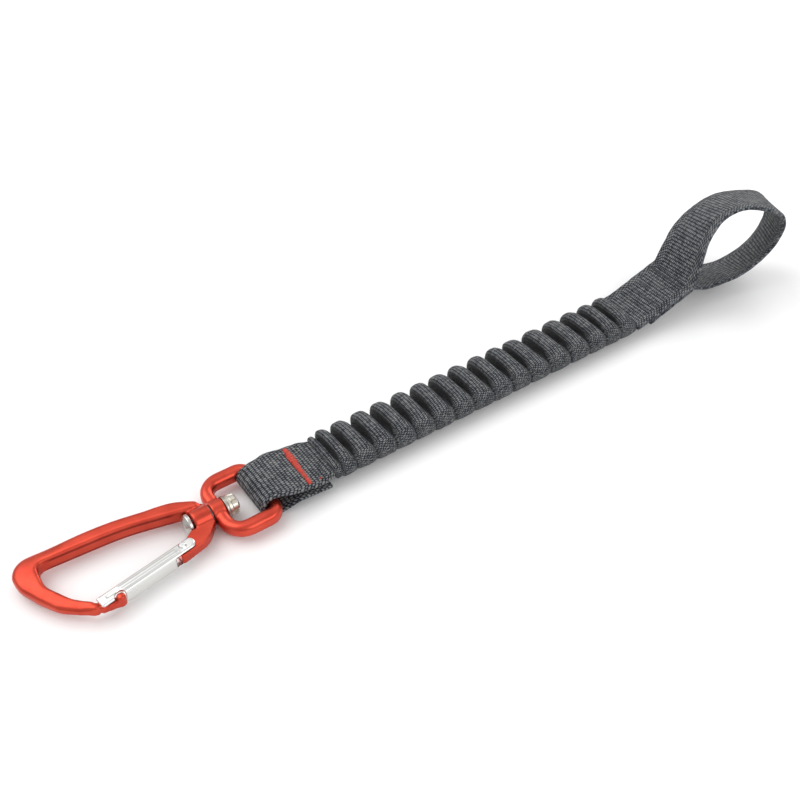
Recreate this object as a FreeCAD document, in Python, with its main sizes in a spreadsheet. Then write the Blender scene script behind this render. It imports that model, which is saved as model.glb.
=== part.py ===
import FreeCAD, Part
import Sketcher
import math
import os

# Elastic webbing tether with a swivel carabiner, in millimetres.
# Pieces are drawn in the strap's own frame: X runs along the strap from the carabiner to the
# hand loop, Y = 0 is the strap's middle line, Z = 0 is the table. Each Placement then moves its
# piece so that the origin is the bottom centre of the whole tether.

Vector = FreeCAD.Vector
Rotation = FreeCAD.Rotation
Z_AXIS = Vector(0, 0, 1)

doc = FreeCAD.newDocument("elastic_tether")
sheet = doc.addObject("Spreadsheet::Sheet", "Dimensions")

DIMENSIONS = [
    ("origin_x", 152.98, "strap frame to part origin"),
    ("origin_y", -1.13, "strap frame to part origin"),
    ("swivel_z", 5.4, "height of the swivel axis"),
    ("fit_gap", 0.05, "radial running fit of pins and bores"),
    # carabiner frame
    ("frame_thick", 6.4, "spine and bow"),
    ("frame_round", 1.2, "edge rounding of spine and bow"),
    ("bow_reach", 34.0, "length over which the bow thins towards the nose"),
    ("bow_taper", 1.7, "how much each face of the bow falls away at the nose"),
    ("hub_back_x", 31.8, "inner wall of the hub"),
    ("hub_face_x", 39.0, "hub face towards the eye"),
    ("hub_radius", 4.6, "barrel round the swivel pin"),
    ("lug_thick", 4.4, "tongue between the gate's plates"),
    ("nose_thick", 3.0, "hook between the gate's plates"),
    ("post_radius", 1.45, "upright post that the gate's notch closes on"),
    ("post_drop", 1.2, "post below the swivel axis"),
    ("post_x", -4.0, "upright post"),
    ("post_y", -17.8, "upright post"),
    # gate, drawn from its pivot towards the nose
    ("pivot_x", 23.3, "gate rivet"),
    ("pivot_y", -10.0, "gate rivet"),
    ("gate_angle", 189.8, "direction from pivot to nose"),
    ("gate_reach", 35.3, "pivot to nose end"),
    ("gate_back", 5.0, "pivot to rounded end"),
    ("gate_inner", 2.1, "pivot to inner edge"),
    ("gate_outer", 2.9, "pivot to outer edge"),
    ("seat_near", 13.6, "pivot to the seat that the gate spring pushes on"),
    ("seat_far", 14.4, "pivot to the back of that seat"),
    ("wall_start", 4.9, "pivot to where the gate's outer wall begins"),
    ("wall_end", 29.5, "pivot to where the gate's outer wall ends"),
    ("gate_thick", 6.6, "over the two plates"),
    ("gate_sheet", 0.8, "sheet thickness"),
    ("notch_radius", 2.15, "gate notch round the post"),
    ("rivet_radius", 1.0, "gate rivet shank"),
    ("rivet_head", 1.6, "gate rivet head radius"),
    ("cam_face", 2.3, "pivot to the flat that the plunger rests on"),
    ("plunger_tip", 0.9, "plunger tip radius"),
    ("collar_near", 4.15, "pivot to the plunger's collar"),
    ("collar_far", 4.75, "pivot to the collar face that carries the spring"),
    ("spring_wire", 0.35, "gate spring wire diameter"),
    ("spring_mean", 1.45, "gate spring mean radius"),
    ("spring_coils", 9, "gate spring coils"),
    # swivel
    ("pin_radius", 2.5, "swivel pin shank"),
    ("pin_head", 4.4, "swivel pin head radius"),
    ("pin_head_x", 28.2, "back of the swivel pin head"),
    ("pin_end_x", 50.6, "end of the swivel pin"),
    ("hub_washer", 0.5, "thickness"),
    ("eye_washer", 1.0, "thickness"),
    ("washer_radius", 4.7, "washer under the castle nut"),
    ("nut_radius", 4.4, "castle nut"),
    ("nut_length", 4.0, "castle nut"),
    ("nut_slot", 1.3, "width of the castle nut's slots"),
    # swivel eye
    ("eye_front_x", 39.6, "eye face towards the hub"),
    ("eye_back_x", 63.7, "outer face of the webbing bar"),
    ("eye_half", 16.6, "half the outer width"),
    ("eye_base", 5.4, "base bar, measured along X"),
    ("eye_arm", 6.0, "side arms, measured across"),
    ("bar_radius", 2.5, "half the webbing bar"),
    ("eye_thick", 6.0, "arms"),
    ("eye_round", 2.4, "edge rounding"),
    ("eye_boss", 4.5, "boss radius round the pin"),
    # webbing
    ("web_width", 25.0, "webbing"),
    ("web_thick", 1.8, "webbing"),
    ("layer_gap", 0.1, "half the gap between sewn layers"),
    ("fold_width", 20.3, "webbing squeezed inside the eye"),
    ("fold_x", 61.0, "middle of the fold round the bar"),
    ("fold_z", 5.75, "middle of the fold round the bar"),
    ("fold_radius", 4.6, "fold, to the webbing's mid thickness"),
    ("sleeve_start", 88.0, "first gather"),
    ("sleeve_mid_z", 6.9, "middle height of the gathers"),
    ("gather_pitch", 9.9, "gather to gather"),
    ("gather_count", 16, "gathers"),
    ("gather_length", 8.4, "one gather along X"),
    ("gather_high", 13.4, "one gather along Z"),
    ("gather_round", 6.3, "corner radius of a gather seen along X"),
    ("sleeve_high", 9.4, "sleeve between gathers"),
    ("core_width", 18.0, "elastic core"),
    ("core_thick", 1.6, "elastic core"),
    ("end_x", 277.5, "where the hand loop opens"),
    ("end_z", 14.4, "where the hand loop opens"),
    ("end_slope", 18.0, "rise of the sewn end"),
    ("end_length", 27.0, "sewn end"),
    ("thread", 0.5, "height of a stitch row above the webbing"),
]

for row, (alias, value, note) in enumerate(DIMENSIONS, start=1):
    sheet.set("A%d" % row, alias)
    sheet.set("B%d" % row, str(value))
    sheet.set("C%d" % row, note)
    sheet.setAlias("B%d" % row, alias)
doc.recompute()


def dim(alias):
    """Value of one cell of the sheet."""
    return float(sheet.get(alias))


sub_parts = []


def shift_to_origin(item):
    """Bind a piece's Placement so that the strap frame lands on the part origin."""
    item.setExpression("Placement.Base.x", "-Dimensions.origin_x")
    item.setExpression("Placement.Base.y", "-Dimensions.origin_y")
    sub_parts.append(item)


def new_body(label):
    body = doc.addObject("PartDesign::Body", label)
    body.Label = label
    return body


def sketch_on(body, role, name, offset=None):
    """Empty sketch on one of the body's own origin planes, offset along its normal."""
    plane = [item for item in body.Origin.OriginFeatures if item.Role == role][0]
    sketch = body.newObject("Sketcher::SketchObject", name)
    sketch.AttachmentSupport = [(plane, "")]
    sketch.MapMode = "FlatFace"
    if offset:
        sketch.setExpression("AttachmentOffset.Base.z", offset)
    return sketch


def draw_circle(sketch, x_value, y_value, radius_expression):
    """Circle whose radius is bound to the sheet."""
    circle = Part.Circle(Vector(x_value, y_value, 0), Z_AXIS, 1.0)
    index = sketch.addGeometry(circle)
    radius = sketch.addConstraint(Sketcher.Constraint("Radius", index, 1.0))
    sketch.setExpression("Constraints[%d]" % radius, radius_expression)


def rounded_corner(before, corner, after, radius):
    """Start, middle and end of the arc that rounds a corner with the given radius."""
    back = (before - corner).normalize()
    ahead = (after - corner).normalize()
    half = back.getAngle(ahead) / 2
    run = radius / math.tan(half)
    centre = corner + (back + ahead).normalize() * (radius / math.sin(half))
    middle = centre + (corner - centre).normalize() * radius
    return corner + back * run, middle, corner + ahead * run


def draw_outline(sketch, corners):
    """Closed outline through corners (x, y, radius), with an arc at each rounded corner."""
    points = [Vector(x, y, 0) for x, y, radius in corners]
    count = len(points)
    stops = []
    for i, (x, y, radius) in enumerate(corners):
        if radius:
            stops.append(rounded_corner(points[i - 1], points[i], points[(i + 1) % count], radius))
        else:
            stops.append((points[i], None, points[i]))
    for i, (start, middle, end) in enumerate(stops):
        if middle:
            sketch.addGeometry(Part.Arc(start, middle, end))
        following = stops[(i + 1) % count][0]
        if end.distanceToPoint(following) > 1e-6:
            sketch.addGeometry(Part.LineSegment(end, following))


def symmetric_pad(body, sketch, name, length):
    pad = body.newObject("PartDesign::Pad", name)
    pad.Profile = sketch
    pad.SideType = "Symmetric"
    pad.setExpression("Length", length)
    doc.recompute()
    return pad


def one_way_pad(body, sketch, name, length):
    pad = body.newObject("PartDesign::Pad", name)
    pad.Profile = sketch
    pad.setExpression("Length", length)
    doc.recompute()
    return pad


def pocket(body, sketch, name, length, symmetric=True):
    """Pocket that must remove material."""
    before = body.Shape.Volume
    cut = body.newObject("PartDesign::Pocket", name)
    cut.Profile = sketch
    if symmetric:
        cut.SideType = "Symmetric"
    else:
        cut.Reversed = True
    cut.setExpression("Length", length)
    doc.recompute()
    if not body.Shape.Volume < before - 1e-6:
        raise RuntimeError(name + " removes nothing")
    return cut


def revolve(body, sketch, name, axis_name):
    turned = body.newObject("PartDesign::Revolution", name)
    turned.Profile = sketch
    turned.ReferenceAxis = (sketch, [axis_name])
    turned.Angle = 360
    doc.recompute()
    return turned


def outer_edges(feature, wanted):
    """Names of the edges of a feature's shape that the test accepts."""
    return ["Edge%d" % (i + 1) for i, edge in enumerate(feature.Shape.Edges) if wanted(edge)]


def round_edges(body, feature, name, edges, radius):
    fillet = body.newObject("PartDesign::Fillet", name)
    fillet.Base = (feature, edges)
    fillet.setExpression("Radius", radius)
    doc.recompute()
    return fillet


def is_flat_at(edge, heights):
    """True for an edge that lies level at one of the given heights."""
    box = edge.BoundBox
    return box.ZLength < 1e-6 and any(abs(box.ZMin - height) < 1e-6 for height in heights)


swivel_z = dim("swivel_z")


# ---- carabiner frame ------------------------------------------------------------------------

def gate_point(along, across):
    """Strap-frame point at a distance along the gate from its pivot, and across, outwards."""
    angle = math.radians(dim("gate_angle"))
    x = dim("pivot_x") + along * math.cos(angle) - across * math.sin(angle)
    y = dim("pivot_y") + along * math.sin(angle) + across * math.cos(angle)
    return x, y


def make_carabiner_frame():
    body = new_body("carabiner_frame")
    ring = sketch_on(body, "XY_Plane", "ring_outline", "Dimensions.swivel_z")
    draw_outline(ring, [
        (38.4, 6.6, 2.5),          # outside, from the hub over the spine
        (29.5, 11.8, 18.0),
        (6.0, 16.5, 90.0),
        (-32.4, 18.8, 7.5),        # corner of spine and bow
        (-32.3, 5.5, 12.0),
        (-24.6, -9.6, 14.0),
        (-15.2, -17.0, 4.0),       # basket
        (-12.6, -17.6, 0.0),       # end of the full section, at the gate's nose
        (-12.6, -14.4, 0.0),
        (-18.6, -8.2, 10.0),       # inside, back up the bow
        (-24.0, 1.5, 10.0),
        (-23.3, 12.2, 3.0),
        (9.0, 10.2, 90.0),
        (36.8, 3.6, 0.0),
    ])
    pad = symmetric_pad(body, ring, "ring", "Dimensions.frame_thick")
    half = dim("frame_thick") / 2
    faces = (swivel_z - half, swivel_z + half)
    level = outer_edges(pad, lambda edge: is_flat_at(edge, faces) and edge.BoundBox.XLength > 0.1)
    round_edges(body, pad, "ring_rounding", level, "Dimensions.frame_round")

    # the bow thins towards the nose, above and below
    for name, side in (("lower", -1), ("upper", 1)):
        wedge = sketch_on(body, "YZ_Plane", name + "_wedge", "-Dimensions.bow_reach")
        draw_outline(wedge, [
            (0.0, swivel_z + side * half, 0), (-24.0, swivel_z + side * half, 0),
            (-24.0, swivel_z + side * (half - dim("bow_taper")), 0),
        ])
        pocket(body, wedge, name + "_taper", "Dimensions.bow_reach", symmetric=False)

    barrel = sketch_on(body, "YZ_Plane", "hub_outline", "Dimensions.hub_back_x")
    draw_circle(barrel, 0, swivel_z, "Dimensions.hub_radius")
    one_way_pad(body, barrel, "hub", "Dimensions.hub_face_x - Dimensions.hub_back_x")

    lug = sketch_on(body, "XY_Plane", "lug_outline", "Dimensions.swivel_z")
    cam = dim("cam_face")
    draw_outline(lug, [
        (39.0, 5.6, 1.5),
        (39.0, -5.2, 2.5),
        (33.2, -11.2, 9.0),        # outer rim, down to the toe beside the gate
        (22.2, -13.9, 0.6),
        gate_point(2.9, 3.2) + (0.5,),
        gate_point(2.3, 1.9) + (0.3,),
        gate_point(cam, -1.9) + (0.6,),
        (26.4, -6.6, 1.5),
        (31.8, -2.4, 1.0),
        (32.2, 6.0, 0.0),
    ])
    symmetric_pad(body, lug, "lug", "Dimensions.lug_thick")

    nose = sketch_on(body, "XY_Plane", "nose_outline", "Dimensions.swivel_z")
    post_x, post_y = dim("post_x"), dim("post_y")
    draw_outline(nose, [
        (-15.0, -13.2, 0.0),
        (-11.2, -15.0, 2.0),
        (post_x, post_y + 1.2, 0.4),
        (post_x, post_y - 1.1, 0.4),
        (-11.0, -17.9, 4.0),
        (-15.5, -16.4, 0.0),
    ])
    symmetric_pad(body, nose, "nose", "Dimensions.nose_thick")
    post = sketch_on(body, "XY_Plane", "post_outline", "Dimensions.swivel_z - Dimensions.post_drop")
    draw_circle(post, post_x, post_y, "Dimensions.post_radius")
    one_way_pad(body, post, "post", "Dimensions.post_drop + Dimensions.gate_thick / 2")

    bore = sketch_on(body, "YZ_Plane", "swivel_bore", "Dimensions.hub_back_x - 3")
    draw_circle(bore, 0, swivel_z, "Dimensions.pin_radius + Dimensions.fit_gap")
    pocket(body, bore, "swivel_hole", "12", symmetric=False)
    seat = sketch_on(body, "YZ_Plane", "head_seat", "Dimensions.hub_back_x - 5")
    draw_circle(seat, 0, swivel_z, "Dimensions.pin_head + 0.4")
    pocket(body, seat, "head_recess", "5", symmetric=False)
    hole = sketch_on(body, "XY_Plane", "pivot_bore", "Dimensions.swivel_z")
    draw_circle(hole, dim("pivot_x"), dim("pivot_y"), "Dimensions.rivet_radius + Dimensions.fit_gap")
    last = pocket(body, hole, "pivot_hole", "12")
    body.Tip = last
    return body


# ---- gate: drawn with its pivot at the origin and its nose along +X ---------------------------

def place_on_gate(item):
    item.setExpression("Placement.Base.x", "Dimensions.pivot_x - Dimensions.origin_x")
    item.setExpression("Placement.Base.y", "Dimensions.pivot_y - Dimensions.origin_y")
    item.setExpression("Placement.Base.z", "Dimensions.swivel_z")
    item.setExpression("Placement.Rotation.Angle", "Dimensions.gate_angle")
    item.Placement.Rotation.Axis = Z_AXIS
    sub_parts.append(item)


def make_gate_channel():
    body = new_body("gate_channel")
    reach, back = dim("gate_reach"), dim("gate_back")
    inner, outer, sheet_thick = dim("gate_inner"), dim("gate_outer"), dim("gate_sheet")
    plan = sketch_on(body, "XY_Plane", "gate_outline")
    draw_outline(plan, [
        (-back, -inner, 2.0), (reach, -inner, 0.4), (reach, outer, 0.8), (-back, outer, 2.6),
    ])
    pad = symmetric_pad(body, plan, "gate_block", "Dimensions.gate_thick")
    half = dim("gate_thick") / 2
    along_outer = outer_edges(pad, lambda edge: is_flat_at(edge, (-half, half))
                              and edge.BoundBox.YMin > outer - 1e-3)
    round_edges(body, pad, "outer_bend", along_outer, "Dimensions.gate_sheet * 1.2")

    inside = sketch_on(body, "XY_Plane", "gate_inside")
    seat_near, seat_far = dim("seat_near"), dim("seat_far")
    wall_start, wall_end = dim("wall_start"), dim("wall_end")
    draw_outline(inside, [
        (-back - 1, -inner - 1, 0), (seat_near, -inner - 1, 0), (seat_near, outer - sheet_thick, 0),
        (wall_start, outer - sheet_thick, 0), (wall_start, outer + 1, 0), (-back - 1, outer + 1, 0),
    ])
    pocket(body, inside, "pivot_space", "Dimensions.gate_thick - 2 * Dimensions.gate_sheet")
    ahead = sketch_on(body, "XY_Plane", "nose_inside")
    draw_outline(ahead, [
        (seat_far, -inner - 1, 0), (reach + 1, -inner - 1, 0), (reach + 1, outer + 1, 0),
        (wall_end, outer + 1, 0), (wall_end, outer - sheet_thick, 0),
        (seat_far, outer - sheet_thick, 0),
    ])
    pocket(body, ahead, "nose_space", "Dimensions.gate_thick - 2 * Dimensions.gate_sheet")

    notch = sketch_on(body, "XY_Plane", "notch_outline")
    to_post = Vector(dim("post_x") - dim("pivot_x"), dim("post_y") - dim("pivot_y"), 0)
    to_post = Rotation(Z_AXIS, -dim("gate_angle")).multVec(to_post)
    draw_circle(notch, to_post.x, to_post.y, "Dimensions.notch_radius")
    pocket(body, notch, "notch", "12")

    rib = sketch_on(body, "XY_Plane", "rib_outline", "Dimensions.gate_thick / 2")
    draw_outline(rib, [(2.6, -0.7, 0.5), (reach - 3, -0.7, 0.5), (reach - 3, 0.9, 0.5), (2.6, 0.9, 0.5)])
    pocket(body, rib, "rib_recess", "0.3")
    pivot = sketch_on(body, "XY_Plane", "rivet_holes")
    draw_circle(pivot, 0, 0, "Dimensions.rivet_radius")
    body.Tip = pocket(body, pivot, "rivet_hole", "12")
    return body


def make_gate_rivet():
    body = new_body("gate_rivet")
    shank, head, half = dim("rivet_radius"), dim("rivet_head"), dim("gate_thick") / 2
    section = sketch_on(body, "XZ_Plane", "rivet_section")
    lift = 0.7
    draw_outline(section, [
        (0, -half - lift, 0), (head * 0.6, -half - lift, 0.25), (head, -half, 0), (shank, -half, 0),
        (shank, half, 0), (head, half, 0), (head * 0.6, half + lift, 0.25), (0, half + lift, 0),
    ])
    body.Tip = revolve(body, section, "rivet_turned", "V_Axis")
    return body


def make_gate_plunger():
    """Pin that the spring pushes against the flat end of the frame's lug."""
    body = new_body("gate_plunger")
    tip, start = dim("plunger_tip"), dim("cam_face") + 0.05
    collar, shank_end = dim("collar_near"), dim("collar_far") + 5.4
    section = sketch_on(body, "XY_Plane", "plunger_section")
    draw_outline(section, [
        (start, 0, 0), (start, tip, 0.85), (collar, tip, 0), (collar, 1.8, 0),
        (dim("collar_far"), 1.8, 0), (dim("collar_far"), 1.0, 0), (shank_end, 1.0, 0.3),
        (shank_end, 0, 0),
    ])
    body.Tip = revolve(body, section, "plunger_turned", "H_Axis")
    return body


def make_gate_spring():
    clear = dim("spring_wire") / 2 + 0.03
    start = dim("collar_far") + clear
    height = dim("seat_near") - clear - start
    helix = Part.makeHelix(height / dim("spring_coils"), height, dim("spring_mean"))
    wire = Part.makeCircle(dim("spring_wire") / 2, Vector(dim("spring_mean"), 0, 0), Vector(0, 1, 0))
    coil = Part.Wire(helix).makePipeShell([Part.Wire(wire)], True, True)
    coil.Placement = FreeCAD.Placement(Vector(start, 0, 0), Rotation(Vector(0, 1, 0), 90))
    return add_shape("gate_spring", coil)


# ---- swivel -----------------------------------------------------------------------------------

def turned_on_axis(label, profile):
    """Body turned about the swivel axis from (x, radius, corner rounding) points."""
    body = new_body(label)
    section = sketch_on(body, "XY_Plane", label + "_section")
    draw_outline(section, profile)
    body.Tip = revolve(body, section, label + "_turned", "H_Axis")
    return body


def place_on_axis(item):
    shift_to_origin(item)
    item.setExpression("Placement.Base.z", "Dimensions.swivel_z")


def ring_profile(start, end, inner, outer, corner):
    return [(start, inner, 0), (start, outer, corner), (end, outer, corner), (end, inner, 0)]


def make_swivel_pin():
    back, seat, end = dim("pin_head_x"), dim("hub_back_x") - 0.1, dim("pin_end_x")
    head, shank = dim("pin_head"), dim("pin_radius")
    return turned_on_axis("swivel_pin", [
        (back, 0, 0), (back, head * 0.62, 0.5), (back + 1.6, head, 0.4), (seat - 0.9, head, 0.3),
        (seat, head * 0.72, 0), (seat, shank, 0), (end, shank, 0.4), (end, 0, 0),
    ])


def make_hub_washer():
    start = dim("hub_face_x") + 0.05
    bore = dim("pin_radius") + dim("fit_gap")
    return turned_on_axis("hub_washer",
                          ring_profile(start, start + dim("hub_washer"), bore, 3.7, 0.1))


def nut_start():
    return dim("eye_front_x") + dim("eye_base") + dim("eye_washer") + 0.02


def make_eye_washer():
    end = nut_start() - 0.01
    bore = dim("pin_radius") + dim("fit_gap")
    return turned_on_axis("eye_washer", ring_profile(
        end - dim("eye_washer"), end, bore, dim("washer_radius"), 0.2))


def make_castle_nut():
    start, length = nut_start(), dim("nut_length")
    bore, outside = dim("pin_radius") + dim("fit_gap"), dim("nut_radius")
    body = turned_on_axis("castle_nut", ring_profile(start, start + length, bore, outside, 0.3))
    slot = sketch_on(body, "XY_Plane", "slot_outline")
    half = dim("nut_slot") / 2
    floor = start + length * 0.45
    draw_outline(slot, [(floor, -half, 0), (start + length + 1, -half, 0),
                        (start + length + 1, half, 0), (floor, half, 0)])
    cut = pocket(body, slot, "slot", "20")
    pattern = body.newObject("PartDesign::PolarPattern", "slots")
    pattern.Originals = [cut]
    x_axis = [item for item in body.Origin.OriginFeatures if item.Role == "X_Axis"][0]
    pattern.Axis = (x_axis, [""])
    pattern.Angle = 180
    pattern.Occurrences = 4
    body.Tip = pattern
    doc.recompute()
    return body


def make_swivel_eye():
    body = new_body("swivel_eye")
    front, back, half = dim("eye_front_x"), dim("eye_back_x"), dim("eye_half")
    window = half - dim("eye_arm")
    window_front = front + dim("eye_base")
    window_back = back - 2 * dim("bar_radius")
    plan = sketch_on(body, "XY_Plane", "eye_outline", "Dimensions.swivel_z")
    draw_outline(plan, [(front, -half, 10.0), (back, -half, 7.0), (back, half, 7.0), (front, half, 10.0)])
    draw_outline(plan, [(window_front, -window, 3.5), (window_back, -window, 0.7),
                        (window_back, window, 0.7), (window_front, window, 3.5)])
    pad = symmetric_pad(body, plan, "eye_ring", "Dimensions.eye_thick")
    level = swivel_z - dim("eye_thick") / 2, swivel_z + dim("eye_thick") / 2
    edges = outer_edges(pad, lambda edge: is_flat_at(edge, level))
    round_edges(body, pad, "eye_rounding", edges, "Dimensions.eye_round")
    boss = sketch_on(body, "YZ_Plane", "boss_outline", "Dimensions.eye_front_x")
    draw_circle(boss, 0, swivel_z, "Dimensions.eye_boss")
    one_way_pad(body, boss, "boss", "Dimensions.eye_base")
    bore = sketch_on(body, "YZ_Plane", "eye_bore", "Dimensions.eye_front_x - 1")
    draw_circle(bore, 0, swivel_z, "Dimensions.pin_radius + Dimensions.fit_gap")
    body.Tip = pocket(body, bore, "pin_hole", "Dimensions.eye_base + 2", symmetric=False)
    return body


# ---- webbing ------------------------------------------------------------------------------------

def ease(value):
    """Smooth step from 0 to 1."""
    value = min(max(value, 0.0), 1.0)
    return value * value * (3 - 2 * value)


def band(path, sections, width, thickness, sides=None):
    """Solid strip along a smooth path. Its width varies by point, and sides, one per path
    point, say which way the width lies there: along Y when left out."""
    curve = Part.BSplineCurve()
    curve.interpolate(path)
    if sides:
        edge = Part.BSplineCurve()
        edge.interpolate(Points=[point + side for point, side in zip(path, sides)],
                         Parameters=[curve.parameter(point) for point in path])
    wires = []
    for i in range(sections + 1):
        share = i / sections
        place = curve.parameterAtDistance(curve.length() * share, curve.FirstParameter)
        centre = curve.value(place)
        along = curve.tangent(place)[0]
        side = edge.value(place) - centre if sides else Vector(0, 1, 0)
        up = along.cross(side).normalize()
        side = up.cross(along).normalize()
        half = side * (width(centre) / 2)
        rise = up * (thickness / 2)
        corners = [centre - half - rise, centre + half - rise, centre + half + rise,
                   centre - half + rise, centre - half - rise]
        wires.append(Part.makePolygon(corners))
    return Part.makeLoft(wires, True, True)


def add_shape(label, *shapes):
    """Part::Feature of one or more solids, whose own places are kept inside a compound."""
    item = doc.addObject("Part::Feature", label)
    item.Label = label
    item.Shape = Part.makeCompound(shapes)
    return item


def full_width(centre):
    return dim("web_width")


def fold_taper(centre):
    """Webbing width: squeezed between the eye's arms, then spreading to its full width."""
    spread = ease((centre.x - dim("fold_x") - 1.0) / 8)
    return dim("fold_width") + (dim("web_width") - dim("fold_width")) * spread


# Webbing behind the eye, to mid thickness (x, z): upper layer towards the gathers, and the
# lower layer back from under the bar to its cut end.
UPPER_LAYER = [(65.5, 10.15), (70.0, 9.5), (74.0, 8.6), (78.0, 7.8), (83.0, 7.15), (87.7, 7.05)]
LOWER_LAYER = [(63.7, 1.35), (66.8, 2.9), (70.8, 4.4), (75.5, 4.2), (80.0, 3.75), (85.3, 3.45)]


def make_eye_webbing():
    fold_x, fold_z, radius = dim("fold_x"), dim("fold_z"), dim("fold_radius")
    path = [Vector(x, 0, z) for x, z in reversed(LOWER_LAYER)]
    for turn in range(-90, -271, -30):
        angle = math.radians(turn)
        path.append(Vector(fold_x + radius * math.cos(angle), 0, fold_z + radius * math.sin(angle)))
    path += [Vector(x, 0, z) for x, z in UPPER_LAYER]
    return add_shape("eye_webbing", band(path, 48, fold_taper, dim("web_thick")))


def make_gathered_sleeve():
    body = new_body("gathered_sleeve")
    start, pitch, count = dim("sleeve_start"), dim("gather_pitch"), int(dim("gather_count"))
    mid = dim("sleeve_mid_z")
    half = dim("web_width") / 2
    tube = sketch_on(body, "YZ_Plane", "tube_outline", "Dimensions.sleeve_start")
    low = dim("sleeve_high") / 2
    draw_outline(tube, [(-half + 1.2, mid - low, 3), (half - 1.2, mid - low, 3),
                        (half - 1.2, mid + low, 3), (-half + 1.2, mid + low, 3)])
    one_way_pad(body, tube, "tube", "Dimensions.gather_pitch * Dimensions.gather_count")
    ring = sketch_on(body, "YZ_Plane", "gather_outline",
                     "Dimensions.sleeve_start + (Dimensions.gather_pitch - Dimensions.gather_length) / 2")
    high = dim("gather_high") / 2
    round_end = dim("gather_round")
    draw_outline(ring, [(-half, mid - high, round_end), (half, mid - high, round_end),
                        (half, mid + high, round_end), (-half, mid + high, round_end)])
    gather = one_way_pad(body, ring, "gather", "Dimensions.gather_length")
    pattern = body.newObject("PartDesign::LinearPattern", "gathers")
    pattern.Originals = [gather]
    x_axis = [item for item in body.Origin.OriginFeatures if item.Role == "X_Axis"][0]
    pattern.Direction = (x_axis, [""])
    pattern.setExpression("Length", "Dimensions.gather_pitch * (Dimensions.gather_count - 1)")
    pattern.Occurrences = count
    body.Tip = pattern
    doc.recompute()
    hollow = sketch_on(body, "YZ_Plane", "hollow_outline", "Dimensions.sleeve_start - 1")
    reach = dim("core_width") / 2 + 0.8
    draw_outline(hollow, [(-reach, mid - 3.2, 1), (reach, mid - 3.2, 1),
                          (reach, mid + 3.2, 1), (-reach, mid + 3.2, 1)])
    body.Tip = pocket(body, hollow, "hollow",
                      "Dimensions.gather_pitch * Dimensions.gather_count + 2", symmetric=False)
    return body


def sewn_end_point(along, offset):
    """Point of the sewn end, measured back from where the loop opens, offset from mid thickness."""
    slope = math.radians(dim("end_slope"))
    x = dim("end_x") - along * math.cos(slope) - offset * math.sin(slope)
    z = dim("end_z") - along * math.sin(slope) + offset * math.cos(slope)
    return Vector(x, 0, z)


def make_elastic_core():
    sleeve_end = dim("sleeve_start") + dim("gather_pitch") * dim("gather_count")
    mid = dim("sleeve_mid_z")
    path = [Vector(76.5, 0, 6.15), Vector(80, 0, 5.7), Vector(84, 0, 5.25), Vector(88, 0, 5.15),
            Vector(92, 0, 5.9)]
    path += [Vector(x, 0, mid) for x in range(98, int(sleeve_end) - 1, 12)]
    return add_shape("elastic_core",
                     band(path, 30, lambda centre: dim("core_width"), dim("core_thick")))


def sewn_layer(first, offset):
    """Points along one layer of the sewn end, from first back to just short of the loop."""
    last = dim("layer_gap") * 2
    return [sewn_end_point(first + (last - first) * step / 5, offset) for step in range(6)]


def layer_lift():
    """Height of each layer's mid thickness from the middle of the sewn end."""
    return dim("web_thick") / 2 + dim("layer_gap")


def make_far_webbing():
    sleeve_end = dim("sleeve_start") + dim("gather_pitch") * dim("gather_count")
    path = [Vector(sleeve_end + 0.5, 0, 6.4)] + sewn_layer(dim("end_length") - 3.0, layer_lift())
    return add_shape("far_webbing", band(path, 24, full_width, dim("web_thick")))


def make_loop_tail():
    path = sewn_layer(dim("end_length") - 2.5, -layer_lift())
    return add_shape("loop_tail", band(path, 6, full_width, dim("web_thick")))


# Hand loop, over the top and back below: middle line (x, y, z), then how far the strip's width
# is turned about Z from Y and how far it leans from level, in degrees.
LOOP_STATIONS = [
    (282.5, 0.5, 23.9, 2, -6), (287.4, 1.5, 34.0, 10, -12), (295.9, 1.5, 41.4, 15, -18),
    (306.7, -0.2, 44.4, 16, -16), (317.9, -4.0, 43.2, 19, -11), (327.1, -7.6, 39.6, 22, -6),
    (330.7, -9.5, 32.4, 32, -6), (328.9, -9.7, 24.2, 36, -10), (322.7, -7.9, 14.8, 34, -17),
    (312.0, -4.6, 8.1, 21, -21), (299.4, -1.6, 7.8, 9, -14), (288.4, -0.3, 10.5, 2, -4),
]


def make_loop_webbing():
    """Hand loop: one strip that leaves the sewn end on top and returns to it below."""
    lift = layer_lift()
    level = Vector(0, 1, 0)
    path = [sewn_end_point(0, lift), sewn_end_point(-2.5, lift)]
    sides = [level, level]
    for x, y, z, turn, lean in LOOP_STATIONS:
        turn, lean = math.radians(turn), math.radians(lean)
        path.append(Vector(x, y, z))
        sides.append(Vector(math.sin(turn) * math.cos(lean), math.cos(turn) * math.cos(lean),
                            math.sin(lean)))
    path += [sewn_end_point(-2.5, -lift), sewn_end_point(0, -lift)]
    sides += [level, level]
    strip = band(path, 56, full_width, dim("web_thick"), sides)
    return add_shape("loop_webbing", strip)


# ---- stitching ------------------------------------------------------------------------------------

def stitch_row(centre, slope, along, across, height, side=1):
    """Raised row of thread on the webbing's upper (side 1) or lower (side -1) face."""
    row = Part.makeBox(along, across, height, Vector(-along / 2, -across / 2, 0))
    if side < 0:
        row.translate(Vector(0, 0, -height))
    row.rotate(Vector(0, 0, 0), Vector(0, 1, 0), -slope)
    row.translate(centre)
    return row


def on_upper_layer(x):
    """Point just above the upper layer behind the eye, and its slope there in degrees."""
    for (x0, z0), (x1, z1) in zip(UPPER_LAYER, UPPER_LAYER[1:]):
        if x0 <= x <= x1:
            slope = math.atan2(z1 - z0, x1 - x0)
            height = z0 + (z1 - z0) * (x - x0) / (x1 - x0)
            return Vector(x, 0, height + dim("web_thick") / 2 + 0.08), math.degrees(slope)


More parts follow.
